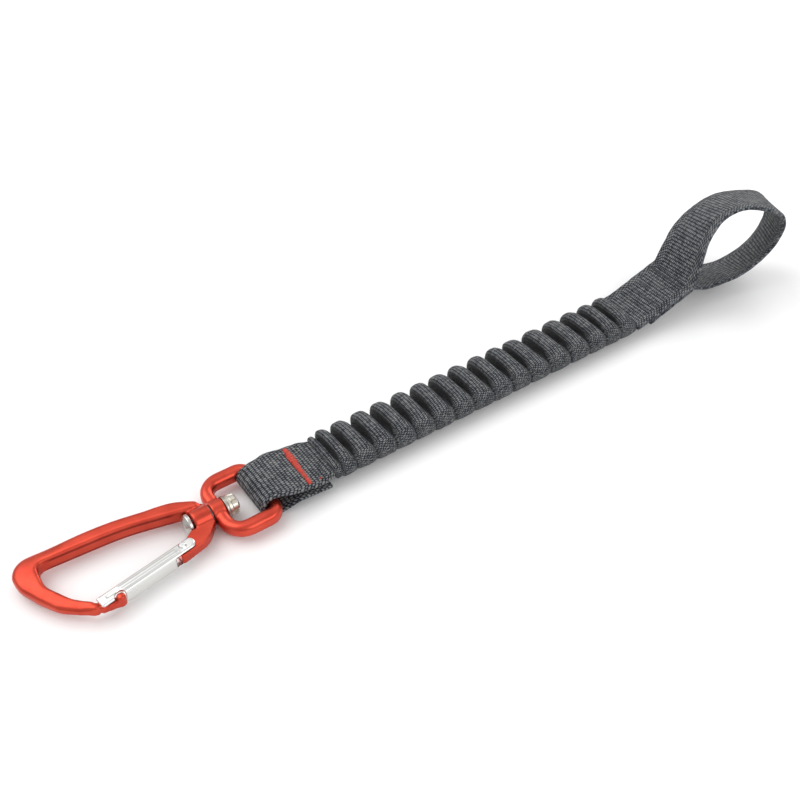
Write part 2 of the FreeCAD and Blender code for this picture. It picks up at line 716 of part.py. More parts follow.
def make_red_bartack():
    centre, slope = on_upper_layer(78.2)
    return add_shape("red_bartack", stitch_row(centre, slope, 2.3, 21.5, dim("thread")))


def make_near_bartack():
    rows = []
    for x in (82.0, 84.5):
        centre, slope = on_upper_layer(x)
        rows.append(stitch_row(centre, slope, 0.8, 20, dim("thread")))
    return add_shape("near_bartack", *rows)


def stitch_seat():
    """Height of the stitches' underside from the middle of the sewn end."""
    return dim("web_thick") + dim("layer_gap") + 0.06


def make_box_stitch():
    slope = dim("end_slope")
    top = stitch_seat()
    rows = [stitch_row(sewn_end_point(along, top), slope, 0.8, 19, dim("thread"))
            for along in (7, 12, 17, 22)]
    return add_shape("box_stitch", *rows)


def make_loop_bartack():
    slope = dim("end_slope")
    top = stitch_seat()
    rows = [stitch_row(sewn_end_point(2.5, top), slope, 2.2, 22, dim("thread")),
            stitch_row(sewn_end_point(2.5, -top), slope, 2.2, 22, dim("thread"), side=-1)]
    return add_shape("loop_bartack", *rows)


# ---- assembly -------------------------------------------------------------------------------------

for make in (make_carabiner_frame, make_swivel_eye, make_eye_webbing, make_gathered_sleeve,
             make_elastic_core, make_far_webbing, make_loop_tail, make_loop_webbing,
             make_red_bartack, make_near_bartack, make_box_stitch, make_loop_bartack):
    shift_to_origin(make())
for make in (make_swivel_pin, make_hub_washer, make_eye_washer, make_castle_nut):
    place_on_axis(make())
for make in (make_gate_channel, make_gate_rivet, make_gate_plunger, make_gate_spring):
    place_on_gate(make())
doc.recompute()

for item in doc.Objects:
    if "Invalid" in item.State or "Error" in item.State:
        raise RuntimeError("%s failed: %s" % (item.Label, item.State))

os.makedirs("parts", exist_ok=True)
whole = FreeCAD.BoundBox()
for item in sub_parts:
    if item.Shape.isNull() or not item.Shape.isValid():
        raise RuntimeError(item.Label + " is not a valid solid")
    item.Shape.exportStep(os.path.join("parts", item.Label + ".step"))
    whole.add(item.Shape.BoundBox)
    print("%-18s %9.1f mm3  %d solid(s)" % (item.Label, item.Shape.Volume, len(item.Shape.Solids)))
print("x %.2f %.2f  y %.2f %.2f  z %.2f %.2f" % (
    whole.XMin, whole.XMax, whole.YMin, whole.YMax, whole.ZMin, whole.ZMax))
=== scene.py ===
"""Looks of the elastic webbing tether: swivel carabiner, gathered sleeve and hand loop.

Lengths are in strap millimetres: X from the carabiner to the hand loop, Y across, Z up from the floor.
place() turns such a point into the frame's metres. Lights, the camera's distance and the relief of
the materials are in metres.
"""
import math
import random

import bpy
import numpy as np
from mathutils import Matrix, Vector, kdtree, noise


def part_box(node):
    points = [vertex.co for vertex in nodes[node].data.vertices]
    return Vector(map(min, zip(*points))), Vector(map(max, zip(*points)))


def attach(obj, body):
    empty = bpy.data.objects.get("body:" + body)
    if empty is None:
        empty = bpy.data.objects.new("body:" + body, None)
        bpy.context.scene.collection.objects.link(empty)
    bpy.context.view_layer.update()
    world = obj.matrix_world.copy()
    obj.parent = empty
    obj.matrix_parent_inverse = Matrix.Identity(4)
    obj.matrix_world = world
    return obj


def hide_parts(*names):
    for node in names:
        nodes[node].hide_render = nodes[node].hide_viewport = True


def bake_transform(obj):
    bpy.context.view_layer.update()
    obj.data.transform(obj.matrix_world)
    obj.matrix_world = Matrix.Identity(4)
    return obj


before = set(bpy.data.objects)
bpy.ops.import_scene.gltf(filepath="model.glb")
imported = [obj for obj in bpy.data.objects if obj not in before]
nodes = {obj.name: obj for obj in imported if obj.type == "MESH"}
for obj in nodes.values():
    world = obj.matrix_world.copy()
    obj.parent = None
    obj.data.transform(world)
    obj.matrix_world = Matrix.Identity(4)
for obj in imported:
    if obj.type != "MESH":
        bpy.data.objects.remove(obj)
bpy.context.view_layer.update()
rng = random.Random(7)

# Where the sleeve starts along the strap; it ties strap millimetres to the frame's own origin.
SLEEVE_START = 88.0
sleeve_low, sleeve_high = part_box("gathered_sleeve")
ORIGIN_X = SLEEVE_START - sleeve_low.x * 1000
ORIGIN_Y = -(sleeve_low.y + sleeve_high.y) * 500
SLEEVE_END = SLEEVE_START + (sleeve_high.x - sleeve_low.x) * 1000
SLEEVE_MID = 6.9
SLEEVE_QUARTER = 17.5  # a quarter of the way round the sleeve, as its weave counts it
WEB_WIDTH, WEB_THICK = 25.0, 1.8
LEVEL = (0.0, 1.0, 0.0)  # width direction of webbing that lies flat


def place(x, y, z):
    """Point of the frame, in metres, for a point in strap millimetres."""
    return Vector(((x - ORIGIN_X) / 1000, (y - ORIGIN_Y) / 1000, z / 1000))


def strap_xy(point):
    """X and Y in strap millimetres of a point of the frame."""
    return point.x * 1000 + ORIGIN_X, point.y * 1000 + ORIGIN_Y


def ease(value):
    """Smooth step from 0 at 0 to 1 at 1, flat outside."""
    value = min(max(value, 0.0), 1.0)
    return value * value * (3 - 2 * value)


def blend_between(low, high, share):
    return low + (high - low) * share


# ---- materials ------------------------------------------------------------------------------------

class Graph:
    """Short way to write a node material. A value is a plain number or another node's socket."""

    def __init__(self, tree):
        self.tree = tree

    def node(self, kind, **settings):
        made = self.tree.nodes.new(kind)
        for key, value in settings.items():
            setattr(made, key, value)
        return made

    def put(self, socket, value):
        if isinstance(value, bpy.types.NodeSocket):
            self.tree.links.new(value, socket)
        else:
            socket.default_value = value

    def math(self, operation, first, second=None):
        made = self.node("ShaderNodeMath", operation=operation)
        self.put(made.inputs[0], first)
        if second is not None:
            self.put(made.inputs[1], second)
        return made.outputs[0]

    def uneven(self, value, amount):
        """A 0 to 1 value turned into an offset round zero, of the given amount."""
        return self.math("MULTIPLY", self.math("SUBTRACT", value, 0.5), amount)

    def noise(self, where, scale, detail=2.0, rough=0.5):
        made = self.node("ShaderNodeTexNoise")
        self.put(made.inputs["Vector"], where)
        made.inputs["Scale"].default_value = scale
        made.inputs["Detail"].default_value = detail
        made.inputs["Roughness"].default_value = rough
        return made.outputs["Fac"]

    def ramp(self, value, stops):
        made = self.node("ShaderNodeValToRGB")
        elements = made.color_ramp.elements
        while len(elements) < len(stops):
            elements.new(0.5)
        for element, (position, colour) in zip(elements, stops):
            element.position = position
            element.color = (*colour, 1)
        self.put(made.inputs["Fac"], value)
        return made.outputs["Color"]

    def span(self, value, low, high, new_low, new_high):
        made = self.node("ShaderNodeMapRange")
        for socket, number in zip(made.inputs[:5], (value, low, high, new_low, new_high)):
            self.put(socket, number)
        return made.outputs["Result"]

    def mix(self, factor, first, second):
        """Colour between two; a plain colour is given as (red, green, blue)."""
        made = self.node("ShaderNodeMix", data_type="RGBA")
        self.put(made.inputs["Factor"], factor)
        for key, colour in (("A", first), ("B", second)):
            self.put(made.inputs[key], (*colour, 1) if isinstance(colour, tuple) else colour)
        return made.outputs["Result"]

    def value_on_mesh(self, name):
        return self.node("ShaderNodeAttribute", attribute_name=name).outputs["Fac"]

    def bump(self, height, distance, strength):
        made = self.node("ShaderNodeBump")
        made.inputs["Distance"].default_value = distance
        made.inputs["Strength"].default_value = strength
        self.put(made.inputs["Height"], height)
        return made.outputs["Normal"]


def material(name, **values):
    """New material, its node graph and its shader, with the shader's plain values set."""
    made = bpy.data.materials.new(name)
    made.use_nodes = True
    shader = made.node_tree.nodes["Principled BSDF"]
    for key, value in values.items():
        shader.inputs[key.replace("_", " ")].default_value = value
    return made, Graph(made.node_tree), shader


def grey(value):
    return (value, value, value)


# Painted shade of the spine's groove: a dark red laid over the dye along it.
GROOVE_SHADE_TINT, GROOVE_SHADE_STRENGTH = (0.05, 0.006, 0.008), 0.85


def anodised(name, base, deep):
    """Satin dyed aluminium: fine blasted grain, slightly uneven dye, and a dark line of painted shade along
    the spine's groove, where a value on the mesh is high.
    """
    made, g, shader = material(name, Metallic=0.92, Roughness=0.34)
    where = g.node("ShaderNodeTexCoord").outputs["Object"]
    cloud = g.noise(where, 130, 3)
    grain = g.noise(where, 5200, 2, 0.6)
    dye = g.ramp(cloud, [(0.3, deep), (0.7, base)])
    # Painted shade along the spine's groove, where the mesh's value is high.
    line = g.math("MULTIPLY", g.value_on_mesh("groove_shade"), GROOVE_SHADE_STRENGTH)
    g.put(shader.inputs["Base Color"], g.mix(line, dye, GROOVE_SHADE_TINT))
    gloss = g.math("ADD", g.math("MULTIPLY", cloud, 0.6), grain)
    g.put(shader.inputs["Roughness"], g.span(gloss, 0.5, 1.1, 0.27, 0.42))
    g.put(shader.inputs["Normal"], g.bump(grain, 0.00002, 0.35))
    return made


def bright_metal(name, base, low, high, brush=(1, 1, 1), scale=900, height=0.000012, worn=0.86):
    """Bare metal with fine draw lines or tool marks and smeared gloss. low and high bound its
    roughness, and worn is the colour left where it is dullest."""
    made, g, shader = material(name, Metallic=1.0, Roughness=(low + high) / 2)
    where = g.node("ShaderNodeTexCoord").outputs["Object"]
    stretch = g.node("ShaderNodeMapping")
    g.put(stretch.inputs["Vector"], where)
    stretch.inputs["Scale"].default_value = brush
    lines = g.noise(stretch.outputs["Vector"], scale, 3, 0.6)
    smear = g.noise(where, 160, 2)
    dull = tuple(c * worn for c in base)
    g.put(shader.inputs["Base Color"], g.ramp(smear, [(0.3, dull), (0.7, base)]))
    g.put(shader.inputs["Roughness"], g.span(g.math("MULTIPLY", lines, smear), 0.1, 0.5, low, high))
    g.put(shader.inputs["Normal"], g.bump(lines, height, 0.5))
    return made


CHEVRON_SLANT = 0.9  # how far a row runs on for each millimetre nearer the edge
EDGE_TANGLE, NEAR_TANGLE = 0.1, 0.45  # extra unevenness near the edge: flat webbing, sleeve
ROW_ROUND, YARN_ROUND = 0.55, 0.6  # under 1 gives full, flat-topped rows and yarns


def weave_place(g):
    """Surface millimetres of the weave: the pair, then across and along the strap."""
    uv = g.node("ShaderNodeUVMap", uv_map="weave").outputs["UV"]
    parts = g.node("ShaderNodeSeparateXYZ")
    g.put(parts.inputs[0], uv)
    return uv, parts.outputs[0], parts.outputs[1]


def half_waves(g, value):
    """Arch from 0 to 1 and back over each whole number of value."""
    return g.math("SINE", g.math("MULTIPLY", g.math("FRACT", value), math.pi))


def weave_height(g, where, pitch, yarn, half, chevron, loose, near_only):
    """Weave of rows across the strap made of short yarn floats, turning to chevrons near both edges,
    or only near the viewer's edge. Gives height, a random shade per float, and 1 on the rim."""
    uv, across, along = where
    drift = g.math("SUBTRACT", g.noise(uv, 0.45, 2), 0.5)
    wander = g.math("SUBTRACT", g.noise(uv, 0.9, 1), 0.5)
    out = g.math("MULTIPLY", across, -1.0) if near_only else g.math("ABSOLUTE", across)
    edge = g.math("MAXIMUM", g.math("SUBTRACT", out, half - chevron), 0.0)
    tangle = NEAR_TANGLE if near_only else EDGE_TANGLE
    stray = g.math("ADD", g.math("MULTIPLY", edge, tangle), loose * 1.6)
    run = g.math("ADD", along, g.math("MULTIPLY", edge, CHEVRON_SLANT))
    row_place = g.math("DIVIDE", g.math("ADD", run, g.math("MULTIPLY", drift, stray)), pitch)
    row = g.math("FLOOR", row_place)
    odd = g.math("MODULO", g.math("ABSOLUTE", row), 2.0)
    shifted = g.math("ADD", across, g.math("MULTIPLY", wander, loose * 1.2))
    yarn_place = g.math("ADD", g.math("DIVIDE", shifted, yarn), g.math("MULTIPLY", odd, 0.5))
    height = g.math("MULTIPLY", g.math("POWER", half_waves(g, row_place), ROW_ROUND),
                    g.math("POWER", half_waves(g, yarn_place), YARN_ROUND))
    cell = g.node("ShaderNodeCombineXYZ")
    g.put(cell.inputs[0], row)
    g.put(cell.inputs[1], g.math("FLOOR", yarn_place))
    shade = g.node("ShaderNodeTexWhiteNoise", noise_dimensions="2D")
    g.put(shade.inputs["Vector"], cell.outputs[0])
    return height, shade.outputs["Value"], g.span(out, half - 0.9, half - 0.3, 0.0, 1.0)


# Nylon's colour ramp, from painted shade in the black between the floats to painted highlights on their
# crests.
NYLON_SHADE_TO_HIGHLIGHT = [(0.22, (0.0020, 0.0026, 0.0055)), (0.40, (0.034, 0.039, 0.050)),
         (0.60, (0.135, 0.146, 0.160)), (0.95, (0.265, 0.262, 0.248))]
# Painted shade laid into the gaps between the sleeve's gathers.
GAP_SHADE_TINT = (0.0025, 0.003, 0.005)
RIM_HEIGHT = 0.34  # height that the webbing's plain rim adds, as a share of a float's


def webbing(name, pitch=1.55, yarn=0.95, half=WEB_WIDTH / 2, chevron=3.2, loose=0.35, tone=1.0,
            folds=False):
    """Dark nylon webbing: yarn floats with painted highlights over black gaps of painted shade, slight lint
    and wear. pitch is the spacing of the rows along the strap, and yarn that of the floats across it.
    With folds, a value on the mesh, low in a gap between gathers and 1 on a crest, paints shade into
    the gaps."""
    made, g, shader = material(name, Roughness=0.68, Sheen_Weight=0.06, Sheen_Roughness=0.4,
                               Specular_IOR_Level=0.3)
    where = weave_place(g)
    uv = where[0]
    height, shade, rim = weave_height(g, where, pitch, yarn, half, chevron, loose, folds)
    if not folds:
        height = g.math("ADD", g.math("MULTIPLY", height, g.span(rim, 0.0, 1.0, 1.0, 0.4)),
                        g.math("MULTIPLY", rim, RIM_HEIGHT))
    # Weave height gives painted shade in the gaps and painted highlights on the crests; the random tone per
    # float and the broad patches are the nylon's own tone.
    painted_light_and_tone = g.math("ADD", g.math("MULTIPLY", height, 0.82), g.uneven(shade, 0.34))
    painted_light_and_tone = g.math("ADD", painted_light_and_tone, g.uneven(g.noise(uv, 0.12, 2), 0.22))
    colour = g.ramp(painted_light_and_tone, [(at, tuple(c * tone for c in tint)) for at, tint in NYLON_SHADE_TO_HIGHLIGHT])
    if folds:
        # Painted shade in the gaps between gathers, where the mesh's value is low.
        crest = g.span(g.value_on_mesh("fold_shade"), 0.55, 0.96, 0.0, 1.0)
        colour = g.mix(crest, GAP_SHADE_TINT, colour)
    g.put(shader.inputs["Base Color"], colour)
    strands = g.noise(uv, 9.0, 2, 0.7)
    g.put(shader.inputs["Roughness"], g.span(strands, 0.3, 0.7, 0.55, 0.8))
    relief = g.math("ADD", height, g.math("MULTIPLY", strands, 0.12))
    g.put(shader.inputs["Normal"], g.bump(relief, 0.00055, 0.95))
    return made


THREAD_TWIST = 0.55  # spacing of a thread's strands


def thread(name, dark, light):
    """Sewing thread: twisted strands seen as slanted bands, with painted light on each strand's crest and
    painted shade in the grooves between them.
    """
    made, g, shader = material(name, Roughness=0.6, Sheen_Weight=0.3, Sheen_Roughness=0.4)
    uv, across, along = weave_place(g)
    band = half_waves(g, g.math("DIVIDE", g.math("ADD", across, along), THREAD_TWIST))
    fuzz = g.math("ADD", g.noise(uv, 2.0, 2), 0.5)
    # Painted light and shade of the strands, following the twist's bands.
    colour = g.ramp(g.math("MULTIPLY", band, fuzz), [(0.15, dark), (0.8, light)])
    g.put(shader.inputs["Base Color"], colour)
    g.put(shader.inputs["Normal"], g.bump(band, 0.00012, 0.7))
    return made


red_frame = anodised("anodised_red", (0.64, 0.080, 0.046), (0.52, 0.055, 0.033))
red_eye = anodised("anodised_orange_red", (0.69, 0.088, 0.052), (0.56, 0.060, 0.037))
gate_metal = bright_metal("gate_steel", (0.78, 0.78, 0.76), 0.27, 0.31, brush=(0.05, 0.6, 1),
                          height=0.000002, worn=0.97)
rivet_metal = bright_metal("rivet_steel", (0.80, 0.81, 0.80), 0.18, 0.34)
plunger_metal = bright_metal("plunger_steel", (0.55, 0.56, 0.57), 0.25, 0.42)
spring_metal = bright_metal("spring_steel", (0.50, 0.50, 0.50), 0.25, 0.40)
pin_metal = bright_metal("pin_steel", (0.66, 0.65, 0.62), 0.20, 0.40, scale=1500, height=0.00002)
washer_metal = bright_metal("washer_steel", (0.48, 0.46, 0.42), 0.28, 0.42)
# The hub's washer is coloured near black: painted shade for the narrow gap between the hub and the eye.
washer_metal_in_painted_shade = bright_metal("washer_steel_painted_shade", (0.15, 0.145, 0.14), 0.34, 0.45)
nut_metal = bright_metal("nut_steel", (0.68, 0.64, 0.56), 0.24, 0.42, scale=1400, height=0.00002)

web_eye = webbing("webbing_eye")
web_sleeve = webbing("webbing_sleeve", pitch=1.4, yarn=0.9, half=SLEEVE_QUARTER, chevron=6.5, folds=True)
web_far = webbing("webbing_far")
web_tail = webbing("webbing_tail", tone=0.85)
web_loop = webbing("webbing_loop", chevron=4.0)
rubber = webbing("elastic", pitch=0.7, yarn=0.5, half=9.0, chevron=0.5, tone=0.5)
red_thread = thread("thread_red", (0.30, 0.018, 0.008), (0.72, 0.06, 0.028))
grey_thread = thread("thread_grey", (0.012, 0.013, 0.015), (0.085, 0.09, 0.095))

for node, finish in [("gate_rivet", rivet_metal), ("gate_plunger", plunger_metal),
                     ("gate_spring", spring_metal), ("swivel_pin", pin_metal),
                     ("hub_washer", washer_metal_in_painted_shade), ("eye_washer", washer_metal)]:
    nodes[node].data.materials.clear()
    nodes[node].data.materials.append(finish)


# ---- mesh helpers ---------------------------------------------------------------------------------

def add_mesh(name, points, faces, weave, finish):
    """Mesh object from points in metres, faces, and one (across, along) in millimetres per corner."""
    mesh = bpy.data.meshes.new(name)
    mesh.from_pydata([tuple(p) for p in points], [], faces)
    layer = mesh.uv_layers.new(name="weave")
    layer.data.foreach_set("uv", np.array(weave, np.float32).ravel())
    mesh.polygons.foreach_set("use_smooth", [True] * len(mesh.polygons))
    mesh.materials.append(finish)
    mesh.update()
    made = bpy.data.objects.new(name, mesh)
    bpy.context.scene.collection.objects.link(made)
    return made


CAP_WEAVE = 0.4  # how far the weave runs on over a tube's end


def tube_mesh(name, rings, around, along, finish):
    """Closed surface from rings of points; around[j] and along[i] give the weave coordinates."""
    count, size = len(rings), len(rings[0])
    points = [p for ring in rings for p in ring]
    faces, weave = [], []
    for i in range(count - 1):
        for j in range(size):
            k = (j + 1) % size
            faces.append((i * size + j, i * size + k, (i + 1) * size + k, (i + 1) * size + j))
            weave += [(around[j], along[i]), (around[j + 1], along[i]),
                      (around[j + 1], along[i + 1]), (around[j], along[i + 1])]
    faces.append(tuple(reversed(range(size))))
    weave += [(around[j], along[0] - CAP_WEAVE) for j in reversed(range(size))]
    faces.append(tuple((count - 1) * size + j for j in range(size)))
    weave += [(around[j], along[-1] + CAP_WEAVE) for j in range(size)]
    return add_mesh(name, points, faces, weave, finish)


def settle(made):
    """Turns an object's modifiers into its mesh."""
    solid = made.evaluated_get(bpy.context.evaluated_depsgraph_get())
    made.data = bpy.data.meshes.new_from_object(solid)
    made.modifiers.clear()


def long_axis(points):
    """Direction of the longest spread of points in the plan view."""
    plan = np.array(points)[:, :2]
    return Vector(np.linalg.svd(plan - plan.mean(axis=0), full_matrices=False)[2][0])


def copy_of(name, node):
    """New object with a copy of a CAD node's mesh."""
    made = bpy.data.objects.new(name, nodes[node].data.copy())
    bpy.context.scene.collection.objects.link(made)
    made.data.name = name
    return made


def softened(name, node, voxel, rounds, finish, reshape=None, align=False):
    """Copy of a CAD piece with its edges rolled over, as forged and tumbled metal has. voxel is in
    millimetres; align lays the voxels along the piece's own length."""
    made = copy_of(name, node)
    axis = long_axis([vertex.co[:] for vertex in made.data.vertices]) if align else Vector((1, 0))
    turn = Matrix.Rotation(math.atan2(axis.y, axis.x), 4, "Z")
    made.data.transform(turn.inverted())
    remesh = made.modifiers.new("remesh", "REMESH")
    remesh.mode, remesh.voxel_size, remesh.use_smooth_shade = "VOXEL", voxel / 1000, True
    settle(made)
    made.data.transform(turn)
    if reshape:
        reshape(made.data)
    smooth = made.modifiers.new("smooth", "SMOOTH")
    smooth.factor, smooth.iterations = 0.5, rounds
    settle(made)
    made.data.name = name
    made.data.materials.clear()
    made.data.materials.append(finish)
    made.data.polygons.foreach_set("use_smooth", [True] * len(made.data.polygons))
    return made


SPAN_POINTS = 24  # curve points between two knots, before they are spaced evenly


def smooth_path(knots, step):
    """Evenly spaced points on a centripetal Catmull-Rom curve through knots, and their distances
    along it. The first three numbers of a knot are its place, and the others ride along."""
    knots = [np.array(k, float) for k in knots]
    knots = [2 * knots[0] - knots[1]] + knots + [2 * knots[-1] - knots[-2]]
    fine = []
    for a, b, c, d in zip(knots, knots[1:], knots[2:], knots[3:]):
        ta, tb = 0.0, np.linalg.norm((b - a)[:3]) ** 0.5
        tc = tb + np.linalg.norm((c - b)[:3]) ** 0.5
        td = tc + np.linalg.norm((d - c)[:3]) ** 0.5
        for t in np.linspace(tb, tc, SPAN_POINTS, endpoint=False):
            ab = a + (b - a) * (t - ta) / (tb - ta)
            bc = b + (c - b) * (t - tb) / (tc - tb)
            cd = c + (d - c) * (t - tc) / (td - tc)
            abc = ab + (bc - ab) * (t - ta) / (tc - ta)
            bcd = bc + (cd - bc) * (t - tb) / (td - tb)
            fine.append(abc + (bcd - abc) * (t - tb) / (tc - tb))
    fine.append(knots[-2])
    fine = np.array(fine)
    length = np.concatenate([[0], np.cumsum(np.linalg.norm(np.diff(fine[:, :3], axis=0), axis=1))])
    count = max(2, round(length[-1] / step) + 1)
    wanted = np.linspace(0, length[-1], count)
    columns = [np.interp(wanted, length, fine[:, i]) for i in range(fine.shape[1])]
    return np.stack(columns, axis=1), wanted


FLAT_STEPS, EDGE_STEPS = 22, 4  # points on a flat face of webbing, and round one of its edges
FLUTTER_FINE, FLUTTER_BROAD = 0.9, 0.23  # waves of a fluttering edge, in radians per millimetre


def strip_section(width, thick):
    """Outline of flat webbing with round edges, as (across, height)."""
    half, edge = width / 2, thick / 2
    outline = []
    for side in (1, -1):
        for step in range(FLAT_STEPS + 1):
            share = -1 + 2 * step / FLAT_STEPS
            outline.append((share * (half - edge) * side, edge * side))
        for step in range(1, EDGE_STEPS):
            angle = math.pi / 2 - math.pi * step / EDGE_STEPS
            y = half - edge + edge * math.cos(angle)
            outline.append((y * side, edge * math.sin(angle) * side))
    return outline


def strip(name, knots, sides, finish, width, thick=WEB_THICK, step=0.7, flutter=0.0):
    """Flat webbing along a smooth path. sides, one per knot, point along its width, width gives the
    width at a point, and flutter is how far the width wavers."""
    path, along = smooth_path([(*knot, *side) for knot, side in zip(knots, sides)], step)
    centres, across = path[:, :3], path[:, 3:]
    tangents = np.gradient(centres, axis=0)
    rings = []
    for centre, tangent, side, distance in zip(centres, tangents, across, along):
        tangent, side = Vector(tangent).normalized(), Vector(side)
        up = tangent.cross(side).normalized()
        side = up.cross(tangent).normalized()
        wave = flutter * math.sin(distance * FLUTTER_FINE) * math.sin(distance * FLUTTER_BROAD + 1)
        ring = []
        for y, height in strip_section(width(Vector(centre)), thick):
            wavered = y + wave * (1 if y > 0 else -1) * 0.5
            ring.append(place(*(Vector(centre) + side * wavered + up * height)))
        rings.append(ring)
    weave_across = [y for y, height in strip_section(width(Vector(centres[-1])), thick)]
    return tube_mesh(name, rings, weave_across + weave_across[:1], list(along), finish)


STITCH_SINK = 0.12  # how deep a thread's ends sit in the webbing
STITCH_GIRTH = 0.2  # weave millimetres per side of a thread


def stitches(name, runs, finish, radius=0.19):
    """Short threads. Each run is (start, end, rise): an arch from start to end."""
    points, faces, weave = [], [], []
    around, steps = 6, 6
    for start, end, rise in runs:
        start, end = Vector(start), Vector(end)
        line = end - start
        side = line.cross(Vector((0, 0, 1))).normalized()
        first = len(points)
        for i in range(steps + 1):
            share = i / steps
            arch = math.sin(math.pi * share)
            centre = start + line * share + Vector((0, 0, rise * arch ** 0.6 - STITCH_SINK))
            swell = radius * (0.75 + 0.25 * arch)
            for j in range(around):
                angle = 2 * math.pi * j / around
                out = side * math.cos(angle) * swell + Vector((0, 0, math.sin(angle) * swell))
                points.append(place(*(centre + out)))
        for i in range(steps):
            for j in range(around):
                k = (j + 1) % around
                a, b = first + i * around, first + (i + 1) * around
                faces.append((a + j, a + k, b + k, b + j))
                left, right = j * STITCH_GIRTH, (j + 1) * STITCH_GIRTH
                low, high = i * line.length / steps, (i + 1) * line.length / steps
                weave += [(left, low), (right, low), (right, high), (left, high)]
        for ring, order in ((first, -1), (first + steps * around, 1)):
            faces.append(tuple(ring + j for j in range(around))[::order])
            weave += [(j * STITCH_GIRTH, 0.0) for j in range(around)]
    return add_mesh(name, points, faces, weave, finish)


# ---- forged metal ---------------------------------------------------------------------------------

frame_low, frame_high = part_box("carabiner_frame")
METAL_MID = (frame_low.z + frame_high.z) / 2

# The carabiner's section, from its outer rim (share 0) to its inner wall (share 1). A pair is for the
# spine and for the bow: how far in the face is rounded, and the height left at the rim.
ROUNDED = (0.34, 0.90)
RIM_LEFT = (0.74, 0.38)
BOW_START, BOW_RUN = -3.0, 16.0  # X where the bow's section sets in, and over what length
PLAIN_START, PLAIN_RUN = 24.0, 6.0  # X where the rounding ends at the hub, and its fade before that
NOSE_FROM, NOSE_TO, NOSE_Y = -17.0, 1.0, -11.0  # the nose bar, which stays full
NOSE_SWELL = 0.28
RIM_DEPTH = 0.8  # share of the section that follows when the rim is moved
UPRIGHT = 0.3  # a wall's normal rises less than this
BOW_MIDDLE_X = 5.0  # the rim is measured round this point on the strap's middle line
# Points of the bow's outer rim, from the spine's corner round to the nose.
BOW_RIM = [(-32.1, 13.0), (-32.2, 9.0), (-30.8, 3.6), (-28.2, -2.2), (-25.3, -7.0), (-22.0, -11.1),
           (-18.0, -14.6), (-14.5, -16.5), (-11.1, -17.3)]


def angle_of(offset):
    return math.atan2(offset.y, offset.x) % (2 * math.pi)


def walls_of(mesh, middle):
    """Search trees over the upright walls of a mesh in plan: those facing away from a middle point,
    and those facing it."""
    outer, inner = kdtree.KDTree(len(mesh.vertices)), kdtree.KDTree(len(mesh.vertices))
    for vertex in mesh.vertices:
        if abs(vertex.normal.z) < UPRIGHT:
            away = (vertex.co - middle).to_2d().dot(vertex.normal.to_2d())
            (outer if away > 0 else inner).insert((vertex.co.x, vertex.co.y, 0), vertex.index)
    outer.balance()
    inner.balance()
    return outer, inner


def nose_share(x, y):
    """1 on the nose bar, 0 away from it."""
    return ease((x - NOSE_FROM) / 4) * ease((NOSE_TO - x) / 2) * ease((NOSE_Y - y) / 2)


def roll_bow(mesh):
    """Rolls the frame's flat section over: a domed spine, and a bow that falls away to a thin rim,
    moved to BOW_RIM."""
    middle = place(BOW_MIDDLE_X, 0, 0)
    outer, inner = walls_of(mesh, middle)
    rim_turns, rim_grows = [], []
    for x, y in BOW_RIM:
        rim = place(x, y, 0) - middle
        now = outer.find((middle.x + rim.x, middle.y + rim.y, 0))[0]
        rim_turns.append(angle_of(rim))
        rim_grows.append(rim.length - (now - middle).to_2d().length)
    normals = [vertex.normal.copy() for vertex in mesh.vertices]
    for vertex, normal in zip(mesh.vertices, normals):
        x, y = strap_xy(vertex.co)
        flat = (vertex.co.x, vertex.co.y, 0)
        out, back = outer.find(flat)[2], inner.find(flat)[2]
        share = out / (out + back + 1e-9)
        bow, nose = ease((BOW_START - x) / BOW_RUN), nose_share(x, y)
        rounded, left = blend_between(*ROUNDED, bow), blend_between(*RIM_LEFT, bow)
        dome = blend_between(left, 1, math.sqrt(1 - (1 - min(share / rounded, 1)) ** 2))
        dome = 1 + (dome - 1) * ease((PLAIN_START - x) / PLAIN_RUN) * (1 - nose)
        vertex.co += normal * NOSE_SWELL / 1000 * nose
        vertex.co.z = METAL_MID + (vertex.co.z - METAL_MID) * dome
        turn = angle_of(vertex.co - middle)
        if rim_turns[0] < turn < rim_turns[-1] and share < RIM_DEPTH:
            grow = np.interp(turn, rim_turns, rim_grows) * (1 - ease(share / RIM_DEPTH))
            vertex.co.x += math.cos(turn) * grow
            vertex.co.y += math.sin(turn) * grow


GROOVE_OFF, GROOVE_WIDTH = 1.9, 0.34  # the groove's distance from the middle height, and its width
GROOVE_FROM, GROOVE_TO, GROOVE_FADE = -21.0, 29.0, 4.0  # where it runs along X, with faded ends


def mark_groove_shade(mesh):
    """Value on the mesh for the painted shade of the groove along the inner wall of the spine, just under
    its top and bottom faces.
    """
    marks = []
    for vertex in mesh.vertices:
        x, y = strap_xy(vertex.co)
        wall = ease((-vertex.normal.y - 0.55) / 0.25) * ease((y - 2.5) / 2)
        run = ease((x - GROOVE_FROM) / GROOVE_FADE) * ease((GROOVE_TO - x) / GROOVE_FADE)
        off = abs(abs(vertex.co.z - METAL_MID) * 1000 - GROOVE_OFF)
        marks += [wall * run * math.exp(-(off / GROOVE_WIDTH) ** 2)] * 4
    groove_shade = mesh.color_attributes.new("groove_shade", "FLOAT_COLOR", "POINT")
    groove_shade.data.foreach_set("color", marks)


RIB_HALF, RIB_ROUND, RIB_RISE = 1.5, 0.6, 0.38  # half width, rounding and height of the gate's ribs
RIB_INSET, RIB_FADE = 6.8, 2.0  # the ribs' ends, from the gate's ends
PLATE_OFF, LOWER_OFF = 2.9, 2.2  # off the middle height: the plates' faces, and the lower plate
CUT_Y, CUT_SHARE, CUT_RUN = -15.2, 0.75, 4.0  # the lower plate is cut back towards this Y at the nose


